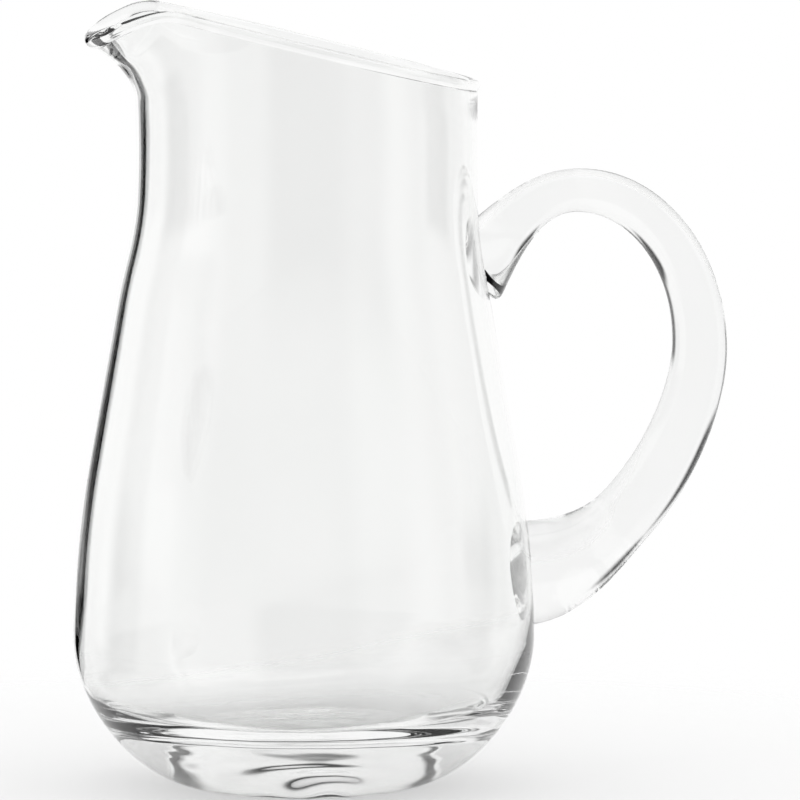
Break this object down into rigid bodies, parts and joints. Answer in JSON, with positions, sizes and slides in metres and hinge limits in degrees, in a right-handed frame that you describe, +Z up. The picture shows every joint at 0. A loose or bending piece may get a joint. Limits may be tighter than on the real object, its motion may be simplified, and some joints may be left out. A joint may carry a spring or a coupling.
{
  "type": "glass pitcher",
  "caption": "Clear hand-blown glass pitcher: pear-shaped body with a heavy base, slanted rim and pulled pouring spout, and a solid glass loop handle sealed on at the neck and belly.",
  "frame": {"origin": "centre of the flat underside, on the body's axis", "axes": "+Z up along the body's axis, -X towards the spout, +X towards the handle"},
  "size_m": [0.1983, 0.1386, 0.2353],
  "materials": {
    "body_glass": "clear, fire-polished",
    "handle_glass": "clear, fire-polished"
  },
  "bodies": {
    "root": {"pitcher_body": "body_glass", "handle": "handle_glass"}
  },
  "joints": []
}
